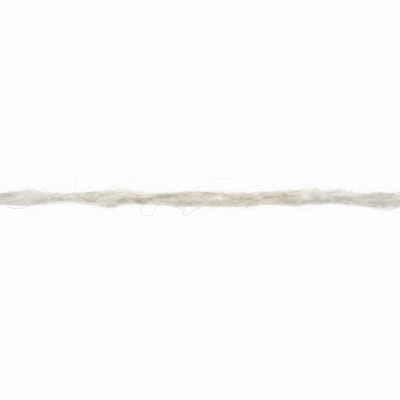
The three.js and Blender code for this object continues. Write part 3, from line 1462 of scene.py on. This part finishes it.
@dataclass(kw_only=True)
class LooseFibres(FibreLayer):
    """Airy single fibres on or around the dense body.

    Attributes:
        tones: the strand's tones.
        name: the piece's name.
        dense: whether the fibres take the tones of the dense body.
        count: the number of fibres.
        shortest: the shortest fibre.
        longest: the longest fibre.
        overrun: the length over which their middles lie, as a share of the strand's.
        inner: the least distance from the strand's middle, as a share of its surface's.
        outer: the usual greatest distance.
        away_spread: how much the distance differs besides.
        crimp: a fibre's waves, their height as a share of the strand's reach.
        free: the distance from the middle up to which fibres lie freely.
        slack: the most that they go past it.
    """

    tones: Tones
    name: str = "yarn_loose_fibres"
    dense: bool = False
    count: int = 250
    points: int = 14
    shortest: float = 3 * MM
    longest: float = 8 * MM
    overrun: float = 1.08
    inner: float = 0.30
    outer: float = 0.95
    away_spread: float = 0.08
    crimp: Crimp = Crimp(0.14, 2.4 * MM, 6 * MM)
    free: float = 0.85
    slack: float = 0.22
    seed: int = 31

    def build(self) -> list[bpy.types.Object]:
        """Makes the loose fibres.

        Returns:
            Their one piece.
        """
        rng = np.random.default_rng(self.seed)
        middles = rng.uniform(-0.5, 0.5, self.count) * self.overrun * STRAND_LENGTH
        lengths = rng.uniform(self.shortest, self.longest, self.count)
        run, _ = FibreRun.drawn(rng, middles, lengths, self.points)
        x, count = run.x, len(run.x)
        turn = rng.uniform(0, TURN, (count, 1))
        away = self.inner + (self.outer - self.inner) * np.sqrt(rng.uniform(0, 1, (count, 1)))
        away = away + rng.normal(0, self.away_spread, (count, 1))
        across = away * np.cos(turn) + self.crimp.drawn(rng, count).at(x)
        upwards = away * np.sin(turn) + self.crimp.drawn(rng, count).at(x)
        angle = np.arctan2(upwards, across) + self.form.twist(x)
        share = held_in(np.hypot(across, upwards), self.free, self.slack)
        lines = self.form.place(x, angle, share * self.form.thinned(rng, x, angle))
        radii = self._radii(rng, run.t, count)
        own = self._own_tones(rng, count)
        tones = self.tones.body(own, lines) if self.dense else self.tones.loose(own, lines)
        return [FibreSheaf(lines, radii, tones, self.tones.tan(lines)).joined(self.name)]


@dataclass(kw_only=True)
class Frizz(LooseFibres):
    """Short, strongly crimped fibres on the dense body, in its tones."""

    name: str = "yarn_frizz"
    dense: bool = True
    count: int = 1500
    points: int = 10
    shortest: float = 1.5 * MM
    longest: float = 3.5 * MM
    inner: float = 0.75
    outer: float = 0.98
    crimp: Crimp = Crimp(0.34, 1.2 * MM, 3 * MM)
    thinnest: float = 0.014 * MM
    thickest: float = 0.022 * MM
    seed: int = 41


@dataclass(kw_only=True)
class Haze(LooseFibres):
    """A haze of short fibres along the strand's outline."""

    name: str = "yarn_haze"
    count: int = 2000
    points: int = 9
    shortest: float = 1.2 * MM
    longest: float = 3 * MM
    inner: float = 0.80
    outer: float = 1.15
    crimp: Crimp = Crimp(0.22, 1 * MM, 2.5 * MM)
    seed: int = 53


@dataclass(kw_only=True)
class WrapperFibres(FibreLayer):
    """Pale fibres that wind tightly around the strand in a few places, as spinning leaves them.

    Attributes:
        places: where they lie along the strand, in millimetres, with their number there.
        turns: how often one usually winds around the strand.
        turn_shares: the least and greatest share of that.
        pitch: how far one usually advances in a turn.
        pitch_shares: the least and greatest share of that.
        spread: how far the fibres of one place lie from its middle.
        angle_spread: how far their middles lie from the strand's top, in radians.
        crimp: their waves in and out, their height as a share of the reach.
    """

    places: tuple[tuple[float, int], ...] = (
        (-39.0, 3), (-37.6, 3), (-36.6, 3), (-29.2, 3), (-28.2, 3),
        (-9.8, 2), (13.3, 5), (22.2, 4), (26.4, 3),
    )
    turns: float = 1.3
    turn_shares: tuple[float, float] = (0.6, 1.2)
    pitch: float = 1.6 * MM
    pitch_shares: tuple[float, float] = (0.4, 1.4)
    spread: float = 0.35 * MM
    angle_spread: float = 0.5
    crimp: Crimp = Crimp(0.05, 1 * MM, 3 * MM)
    points: int = 30
    thinnest: float = 0.0182 * MM
    thickest: float = 0.0286 * MM
    tip_loss: float = 0.6
    tip_power: float = 4.0
    tone: float = 0.85
    tone_spread: float = 0.05
    seed: int = 43

    def build(self) -> list[bpy.types.Object]:
        """Makes the wrapper fibres.

        Returns:
            Their one piece.
        """
        rng = np.random.default_rng(self.seed)
        places, numbers = zip(*self.places)
        middles = np.repeat(places, numbers)[:, None] * MM
        count, each = len(middles), middles.shape
        t = np.linspace(-0.5, 0.5, self.points)[None, :]
        turns = self.turns * rng.uniform(*self.turn_shares, each)
        hand = rng.choice((-1.0, 1.0), each)
        pitch = self.pitch * hand * rng.uniform(*self.pitch_shares, each)
        x = middles + rng.normal(0, self.spread, each) + pitch * turns * t
        angle = rng.normal(math.pi / 2, self.angle_spread, each) + TURN * turns * t
        lines = self.form.dense(x, angle, 1.0 + self.crimp.drawn(rng, count).at(x))
        radii = self._radii(rng, t + 0.5, count)
        tones = self._own_tones(rng, count)
        return [FibreSheaf(lines, radii, tones, np.zeros(count)).joined("yarn_wrapper_fibres")]


@dataclass(kw_only=True)
class Halo(FibreLayer):
    """Small tufts that leave the strand and come back to it or end in the air.

    Attributes:
        tones: the strand's tones.
        tufts: the number of tufts.
        fibres: fibres in one tuft.
        shortest: the shortest usual fibre of a tuft.
        longest: the longest usual fibre of a tuft.
        length_shares: the least and greatest length of its fibres, as shares of the usual one.
        droop: how far below the strand's sides tufts still stand, in radians.
        far_share: the share of the tufts that stand on the far side.
        far_turn: the usual direction of those, in radians.
        far_spread: how much it differs.
        height: usual height of a tuft over the strand.
        highest: the greatest height.
        height_shares: the least and greatest height of its fibres, as shares of the tuft's.
        free_share: the share of the tufts that end in the air.
        free_bow: how late those rise.
        loop_bow: how pointed the others are.
        fan: how far a tuft's fibres spread, in radians.
        crimp: a fibre's waves, in radians.
        root: where the tufts start, as a share of the strand's reach.
    """

    tones: Tones
    tufts: int = 200
    fibres: int = 4
    points: int = 9
    shortest: float = 1.2 * MM
    longest: float = 5 * MM
    length_shares: tuple[float, float] = (0.6, 1.2)
    droop: float = 0.35
    far_share: float = 0.65
    far_turn: float = 0.25
    far_spread: float = 0.3
    height: float = 0.30 * MM
    highest: float = 0.9 * MM
    height_shares: tuple[float, float] = (0.6, 1.3)
    free_share: float = 0.5
    free_bow: float = 1.5
    loop_bow: float = 1.2
    fan: float = 0.22
    crimp: Crimp = Crimp(0.2, 2 * MM, 6 * MM)
    root: float = 0.88
    thickest: float = 0.021 * MM
    seed: int = 37

    def build(self) -> list[bpy.types.Object]:
        """Makes the halo.

        Returns:
            Its one piece.
        """
        rng = np.random.default_rng(self.seed)
        tufts = self.tufts
        owner = np.repeat(np.arange(tufts), self.fibres)
        root = rng.uniform(-0.5, 0.5, tufts) * STRAND_LENGTH
        leaning = rng.choice((-1.0, 1.0), tufts)
        turn = rng.uniform(-self.droop, math.pi + self.droop, tufts)
        far = rng.uniform(0, 1, tufts) < self.far_share
        turn = np.where(far, rng.normal(self.far_turn, self.far_spread, tufts), turn)
        height = np.minimum(rng.exponential(self.height, tufts), self.highest)
        free = rng.uniform(0, 1, tufts) < self.free_share
        usual = rng.uniform(self.shortest, self.longest, tufts)
        lengths = usual[owner] * rng.uniform(*self.length_shares, len(owner))
        middles = root[owner] + leaning[owner] * lengths / 2
        run, left = FibreRun.drawn(rng, middles, lengths, self.points)
        owner, x, count = owner[left], run.x, len(run.x)
        t = np.where(leaning[owner, None] > 0, run.t, 1 - run.t)
        angle = turn[owner, None] + self.form.twist(x) - self.form.twist(root[owner, None])
        angle = angle + rng.normal(0, self.fan, (count, 1)) + self.crimp.drawn(rng, count).at(x)
        bow = np.where(free[owner, None], t**self.free_bow, np.sin(np.pi * t) ** self.loop_bow)
        tall = height[owner, None] * rng.uniform(*self.height_shares, (count, 1))
        lift = tall * bow * self.form.width(x) / STRAND_THICKNESS
        lines = self.form.place(x, angle, np.full_like(x, self.root), lift)
        radii = self._radii(rng, run.t, count)
        tones = self.tones.loose(self._own_tones(rng, count), lines)
        return [FibreSheaf(lines, radii, tones, self.tones.tan(lines)).joined("yarn_halo")]


@dataclass(kw_only=True)
class Fuzz(FibreLayer):
    """Short fibres that stand off the dense body in every direction and soften its outline.

    Attributes:
        tones: the strand's tones.
        count: the number of fibres.
        trials: places that are tried for each fibre.
        droop: how far below the strand's sides fibres still stand, in radians.
        shortest: the least length of a fibre.
        longest: the greatest length where the strand is dense up to its outline.
        airy: further length, as a share of the room between the dense body and the outline.
        far_rows: places along the strand in millimetres, with how much longer and denser the fuzz
            is on the far side there, as a share.
        crowding: how much denser the fuzz is for each metre of room under the outline.
        roots: the least and greatest distance of its roots, as shares of the dense body's reach.
        lean: how much of a fibre's direction points outwards, at least and at most.
        lean_spread: how much its direction differs besides.
        bend: how much of its bend points outwards, at least and at most.
        bend_spread: how much its bend differs besides.
    """

    tones: Tones
    count: int = 4600
    trials: int = 4
    points: int = 5
    droop: float = 0.7
    shortest: float = 0.15 * MM
    longest: float = 0.40 * MM
    airy: float = 1.1
    far_rows: Rows = (
        (-14.0, 0.8), (-11.0, 1.3), (-7.0, 1.3), (-4.0, 0.8), (4.0, 0.8), (8.0, 1.7),
        (30.0, 1.7), (34.0, 0.8),
    )
    crowding: float = 4 / MM
    roots: tuple[float, float] = (0.80, 1.0)
    lean: tuple[float, float] = (0.1, 0.9)
    lean_spread: float = 0.5
    bend: tuple[float, float] = (-0.9, 0.0)
    bend_spread: float = 0.6
    tip_loss: float = 0.8
    tip_power: float = 2.0
    tone_spread: float = 0.08
    seed: int = 47

    def build(self) -> list[bpy.types.Object]:
        """Makes the fuzz, whose fibres are thickest at their roots.

        Returns:
            Its one piece.
        """
        rng = np.random.default_rng(self.seed)
        x, angle, room, growth = self._places(rng)
        each = (self.count, 1, 1)
        share = rng.uniform(*self.roots, (self.count, 1)) * self.form.thinned(rng, x, angle)
        root = self.form.dense(x, angle, share)
        outward = np.stack([np.zeros_like(x), np.cos(angle), np.sin(angle)], axis=-1)
        way = outward * rng.uniform(*self.lean, each)
        way = way + rng.normal(0, self.lean_spread, outward.shape)
        bend = outward * rng.uniform(*self.bend, each)
        bend = bend + rng.normal(0, self.bend_spread, outward.shape)
        size = growth[..., None] * rng.uniform(self.shortest, self.longest, each)
        size = size + self.airy * room * rng.uniform(0, 1, each)
        t = np.linspace(0, 1, self.points)[None, :, None]
        lines = root + size * (way * t + bend * t**2)
        lines[..., 0] = np.clip(lines[..., 0], -HALF_LENGTH, HALF_LENGTH)
        radii = self._radii(rng, (1 + t[..., 0]) / 2, self.count)
        tones = self.tones.loose(self._own_tones(rng, self.count), lines)
        return [FibreSheaf(lines, radii, tones, self.tones.tan(lines)).joined("yarn_fuzz")]

    def _places(self, rng: Rng) -> tuple[np.ndarray, ...]:
        """Draws where the fibres stand, more of them where there is room for them.

        Args:
            rng: the random source.

        Returns:
            Their places along the strand, their directions, the room there and how much longer
            than usual they are.
        """
        tried = (self.trials * self.count, 1)
        x = rng.uniform(-0.5, 0.5, tried) * (STRAND_LENGTH - 2 * self.longest)
        angle = rng.uniform(-self.droop, math.pi + self.droop, tried)
        room = self._room(x, angle)
        growth = 1 + read_rows(self.far_rows, x) * np.maximum(np.cos(angle), 0)
        weight = growth[:, 0] + self.crowding * room[:, 0, 0]
        kept = rng.choice(len(x), self.count, replace=False, p=weight / weight.sum())
        return x[kept], angle[kept], room[kept], growth[kept]

    def _room(self, x: np.ndarray, angle: np.ndarray) -> np.ndarray:
        """Measures the room between the dense body and the outline.

        Args:
            x: places along the strand.
            angle: directions, counted from +Y towards +Z.

        Returns:
            The room at each place.
        """
        whole = np.ones_like(x)
        gap = self.form.place(x, angle, whole) - self.form.dense(x, angle, whole)
        return np.linalg.norm(gap, axis=-1, keepdims=True)


@dataclass(kw_only=True)
class CutEnds(FibreLayer):
    """The brushes of fibre ends that fill the two cut faces.

    Attributes:
        count: fibre ends on one face.
        depth: how far behind its tip a fibre end starts.
        cut_back: how far behind the cut its tip lies at least.
        uneven: how much that differs from fibre to fibre.
        outer: the greatest distance from the middle, as a share of the dense body's reach.
        splay: how far the tips spread, as a share of that distance.
    """

    count: int = 520
    points: int = 4
    depth: float = 1.2 * MM
    cut_back: float = 0.02 * MM
    uneven: float = 0.10 * MM
    outer: float = 0.96
    splay: float = 0.06
    thinnest: float = 0.020 * MM
    thickest: float = 0.038 * MM
    tip_loss: float = 0.0
    tone: float = 0.66
    tone_spread: float = 0.18
    seed: int = 59

    def build(self) -> list[bpy.types.Object]:
        """Makes the fibre ends.

        Returns:
            Their one piece.
        """
        rng = np.random.default_rng(self.seed)
        side = np.repeat((-1.0, 1.0), self.count)[:, None]
        count, each = len(side), side.shape
        t = np.linspace(0, 1, self.points)[None, :]
        tip = HALF_LENGTH - self.cut_back - np.abs(rng.normal(0, self.uneven, each))
        x = side * (tip - self.depth * (1 - t))
        turn = rng.uniform(0, TURN, each) - self.form.twist(side * HALF_LENGTH)
        share = self.outer * np.sqrt(rng.uniform(0, 1, each)) * (1 + self.splay * t**2)
        lines = self.form.dense(x, turn + self.form.twist(x), share)
        radii = self._radii(rng, t, count)
        tones = self._own_tones(rng, count)
        return [FibreSheaf(lines, radii, tones, np.zeros(count)).joined("yarn_cut_ends")]


@dataclass(frozen=True)
class Hair:
    """One stray hair, or a bit of straw.

    Attributes:
        thickness: its thickness in millimetres.
        tone: its tone, from -1, the painted shade of thin wool in the air, to 1 for pale.
        route: points that it passes, in millimetres.
        tan: whether it takes the tan fibres' tones, in which -1 is straw.
    """

    thickness: float
    tone: float
    route: tuple[tuple[float, float, float], ...]
    tan: bool = False


# Hairs in the air carry tones near -1, a painted grey shade; the two tan ones are bits of straw
STRAY_HAIRS = (
    Hair(0.075, -0.97, ((-43.6, -0.2, 1.0), (-43.0, -0.45, 1.0), (-42.1, -1.05, 1.0), (-41.5, -1.5, 0.9),
                       (-40.85, -1.85, 0.8), (-40.0, -2.02, 0.7), (-38.7, -2.02, 0.7),
                       (-37.8, -1.83, 0.8), (-37.2, -1.5, 0.9), (-36.8, -1.1, 1.0))),
    Hair(0.055, -0.80, ((-27.0, 0.3, 1.2), (-26.9, 1.2, 1.5), (-26.9, 2.4, 1.4), (-26.9, 3.6, 1.2),
                       (-26.85, 4.75, 1.0))),
    Hair(0.065, -0.90, ((-10.6, -0.1, 1.1), (-11.0, -0.45, 1.1), (-11.6, -0.95, 1.1),
                       (-12.35, -1.5, 0.95), (-12.85, -2.13, 0.8), (-12.65, -2.73, 0.7),
                       (-12.05, -3.48, 0.5), (-11.2, -3.6, 0.4), (-10.35, -3.48, 0.4),
                       (-10.0, -2.73, 0.6), (-9.7, -2.02, 0.8), (-9.15, -1.4, 1.0), (-8.4, -0.85, 1.1),
                       (-7.9, -0.4, 1.1))),
    Hair(0.080, -0.97, ((-8.6, -0.5, 1.1), (-7.75, -0.95, 1.1), (-6.9, -1.35, 1.0), (-5.2, -1.75, 0.9),
                       (-3.7, -2.1, 0.75), (-3.27, -2.28, 0.7), (-3.6, -2.73, 0.6), (-3.5, -3.33, 0.5),
                       (-3.0, -3.6, 0.4), (-2.47, -3.27, 0.45), (-1.7, -2.7, 0.6), (-0.86, -2.13, 0.8),
                       (0.3, -1.7, 0.95), (1.3, -1.25, 1.1), (1.9, -0.8, 1.1))),
    Hair(0.026, -0.20, ((1.3, 0.5, 1.2), (1.7, 1.3, 1.4), (2.2, 2.5, 1.6), (2.9, 3.7, 1.7),
                       (3.9, 4.35, 1.7), (4.9, 4.5, 1.7), (5.7, 4.4, 1.6), (6.35, 4.75, 1.5),
                       (6.45, 5.4, 1.4), (6.0, 6.25, 1.2), (5.1, 7.4, 1.0), (4.5, 8.9, 0.8),
                       (4.0, 10.3, 0.7), (3.7, 11.4, 0.6))),
    Hair(0.048, -0.73, ((2.8, 4.1, 1.7), (3.6, 4.38, 1.7), (4.6, 4.42, 1.7), (5.6, 4.38, 1.6),
                       (6.25, 4.6, 1.5), (6.4, 5.2, 1.4))),
    Hair(0.045, -0.65, ((-19.3, 1.0, 1.4), (-18.2, 1.8, 1.5), (-16.8, 2.7, 1.4), (-15.3, 3.65, 1.1),
                       (-14.0, 4.35, 0.9))),
    Hair(0.045, -0.65, ((7.0, 1.2, 1.6), (8.0, 1.9, 1.6), (10.3, 2.6, 1.4), (12.0, 2.92, 1.2),
                       (13.5, 3.0, 1.1))),
    Hair(0.045, -0.65, ((20.5, 1.3, 1.6), (22.0, 2.0, 1.5), (22.8, 2.35, 1.4), (23.9, 2.9, 1.3),
                       (24.8, 3.1, 1.2))),
    Hair(0.026, -0.16, ((5.9, -1.0, 1.1), (6.2, -1.9, 0.9), (6.4, -2.9, 0.7), (6.45, -3.8, 0.5),
                       (6.4, -4.5, 0.4))),
    Hair(0.045, -0.58, ((7.6, -1.1, 1.1), (8.0, -1.8, 0.9), (9.0, -2.2, 0.7), (10.5, -2.25, 0.6),
                       (11.6, -2.1, 0.6), (12.3, -1.6, 0.8))),
    Hair(0.050, -0.65, ((19.0, -1.1, 1.1), (20.0, -1.5, 0.9), (21.5, -2.05, 0.7), (22.6, -2.55, 0.55),
                       (23.7, -1.95, 0.7), (24.7, -1.3, 0.9))),
    Hair(0.060, -0.80, ((36.4, -1.6, 1.0), (37.4, -2.1, 0.8), (38.5, -2.35, 0.7), (40.0, -2.4, 0.7),
                       (41.3, -2.1, 0.8), (42.5, -1.5, 1.0))),
    Hair(0.040, -0.65, ((-2.9, 1.2, 1.5), (-1.7, 1.9, 1.6), (0.0, 2.6, 1.4), (1.7, 2.75, 1.2))),
    Hair(0.030, -0.34, ((-25.8, 1.1, 1.4), (-25.0, 2.0, 1.5), (-23.6, 2.45, 1.4), (-22.3, 2.4, 1.4))),
    Hair(0.030, -0.34, ((35.6, 0.9, 1.4), (37.3, 2.1, 1.4), (40.0, 2.6, 1.3), (42.5, 2.5, 1.3))),
    Hair(0.065, -0.65, ((2.5, -1.5, 0.9), (2.7, -1.95, 0.8), (2.95, -2.1, 0.75), (3.0, -1.9, 0.85),
                       (2.8, -1.85, 0.9), (2.7, -2.1, 0.7), (2.85, -2.3, 0.7))),
    Hair(0.100, -1.00, ((9.8, -1.5, 0.9), (10.0, -1.75, 0.8), (10.25, -1.85, 0.75), (10.3, -1.7, 0.85),
                       (10.1, -1.65, 0.9), (10.05, -1.9, 0.75))),
    Hair(0.280, -1.00, ((-13.0, -0.78, 1.93), (-12.7, -0.84, 1.93), (-12.2, -0.90, 1.90)), tan=True),
    Hair(0.280, -1.00, ((-3.1, -0.92, 2.0), (-2.5, -1.02, 1.97), (-1.9, -1.1, 1.92)), tan=True),
)


@dataclass
class StrayHairs(YarnLayer):
    """The hairs and loops that stand well clear of the strand, and bits of straw in it.

    Attributes:
        hairs: the hairs.
        points: points along one hair.
        sides: sides of a hair's section.
        tip_loss: the share of its radius that a hair loses at its tips.
        tip_power: how late it thins towards them.
    """

    hairs: tuple[Hair, ...] = STRAY_HAIRS
    points: int = 56
    sides: int = 5
    tip_loss: float = 0.6
    tip_power: float = 3.0

    def build(self) -> list[bpy.types.Object]:
        """Makes the hairs.

        Returns:
            Their one piece.
        """
        lines = np.array([self._smooth(np.array(hair.route) * MM) for hair in self.hairs])
        t = np.linspace(0, 1, self.points)[None, :]
        radius = np.array([[hair.thickness * MM / 2] for hair in self.hairs])
        radii = tapered(radius, t, self.tip_loss, self.tip_power)
        tones = np.array([[hair.tone] for hair in self.hairs])
        tan = np.array([hair.tan for hair in self.hairs])
        return [FibreSheaf(lines, radii, tones, tan, self.sides).joined("yarn_stray_hairs")]

    def _smooth(self, route: np.ndarray) -> np.ndarray:
        """Draws a smooth line through a route, a cubic spline that passes each of its points.

        Args:
            route: the points that it passes.

        Returns:
            Points along the line.
        """
        knots = np.concatenate([[2 * route[0] - route[1]], route, [2 * route[-1] - route[-2]]])
        place = np.linspace(0, len(route) - 1, self.points)
        k = np.minimum(place.astype(int), len(route) - 2)
        t = (place - k)[:, None]
        a, b, c, d = knots[k], knots[k + 1], knots[k + 2], knots[k + 3]
        return b + ((c - a) * t + (2 * a - 5 * b + 4 * c - d) * t**2 + (3 * b - a - 3 * c + d) * t**3) / 2


@dataclass(frozen=True)
class FloorFinish:
    """A plain white surface that glows softly, so that the strand hardly shades it.

    Attributes:
        colour: its own colour, which adds hardly any light.
        glow: strength of its glow.
        roughness: the surface's roughness.
        specular: strength of its reflections.
    """

    colour: Colour = (0.02, 0.02, 0.02)
    glow: float = 0.95
    roughness: float = 1.0
    specular: float = 0.0

    def make(self) -> bpy.types.Material:
        """Makes the floor's material.

        Returns:
            The material.
        """
        return NodeTree("floor_white").surface(
            {
                "Base Color": (*self.colour, 1.0),
                "Roughness": self.roughness,
                "Specular IOR Level": self.specular,
                "Emission Color": WHITE,
                "Emission Strength": self.glow,
            }
        )


@dataclass
class Studio:
    """The floor, the soft light and the camera straight above the strand.

    Attributes:
        frame_width: width of the picture on the strand.
        strand_above: how far the strand lies above the picture's middle.
        lens: the camera's focal length in millimetres.
        sensor: the camera's sensor width in millimetres.
        sky: strength of the light from all around.
        key: power of the soft light.
        key_place: place of the soft light.
        key_turn: its turn about X, Y and Z, in degrees.
        key_size: its width.
        floor_size: width of the floor.
    """

    frame_width: float = 86 * MM
    strand_above: float = 0.19 * MM
    lens: float = 100.0
    sensor: float = 36.0
    sky: float = 1.42
    key: float = 0.3
    key_place: tuple[float, float, float] = (-0.1, 0.35, 0.45)
    key_turn: tuple[float, float, float] = (-38.0, -12.0, 0.0)
    key_size: float = 0.3
    floor_size: float = 3.0

    def build(self) -> None:
        """Makes the floor, lights and camera."""
        self._floor()
        self._light()
        self._camera()

    def _floor(self) -> None:
        """Lays the floor under the strand."""
        bpy.ops.object.select_all(action="DESELECT")
        bpy.ops.mesh.primitive_plane_add(size=self.floor_size, location=(0, 0, 0))
        floor = bpy.context.object
        floor.name = "floor"
        floor.data.materials.append(FloorFinish().make())

    def _light(self) -> None:
        """Makes an even white sky and one soft light from the far side."""
        scene = bpy.context.scene
        scene.world = bpy.data.worlds.new("studio")
        scene.world.use_nodes = True
        sky = scene.world.node_tree.nodes["Background"]
        sky.inputs["Color"].default_value = WHITE
        sky.inputs["Strength"].default_value = self.sky
        bpy.ops.object.light_add(type="AREA", location=self.key_place)
        light = bpy.context.object
        light.data.energy = self.key
        light.data.shape = "DISK"
        light.data.size = self.key_size
        light.rotation_euler = np.radians(self.key_turn)
        scene.view_settings.view_transform = "Standard"

    def _camera(self) -> None:
        """Sets the camera straight above the strand."""
        data = bpy.data.cameras.new("camera")
        data.lens = self.lens
        data.sensor_width = self.sensor
        height = self.frame_width * self.lens / self.sensor
        camera = bpy.data.objects.new("camera", data)
        bpy.context.collection.objects.link(camera)
        camera.location = (0.0, -self.strand_above, height + STRAND_THICKNESS / 2)
        bpy.context.scene.camera = camera


def fibre_layers(form: StrandForm, tones: Tones) -> list[YarnLayer]:
    """Lists the layers of fibres around the core, from the dense body outwards.

    Args:
        form: the strand's outer form.
        tones: the strand's tones.

    Returns:
        The layers.
    """
    return [
        FibreBundle(form=form, tones=tones),
        Frizz(form=form, tones=tones),
        WrapperFibres(form=form),
        LooseFibres(form=form, tones=tones),
        Haze(form=form, tones=tones),
        Halo(form=form, tones=tones),
        Fuzz(form=form, tones=tones),
        CutEnds(form=form),
        StrayHairs(),
    ]


def main() -> None:
    """Builds the yarn and its studio."""
    logging.basicConfig(level=logging.INFO)
    Studio().build()
    form = StrandForm()
    tones = Tones(form)
    finish = WoolFinish()
    core = YarnCore(form, tones)
    [core_piece] = core.dressed(finish.make(WoolPart.CORE))
    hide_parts(STRAND_NODE)
    fibre_wool = finish.make(WoolPart.FIBRE)
    fibres = [
        piece for layer in fibre_layers(form, tones) for piece in layer.dressed(fibre_wool)
    ]
    path = core.path()


if __name__ == "__main__":
    main()
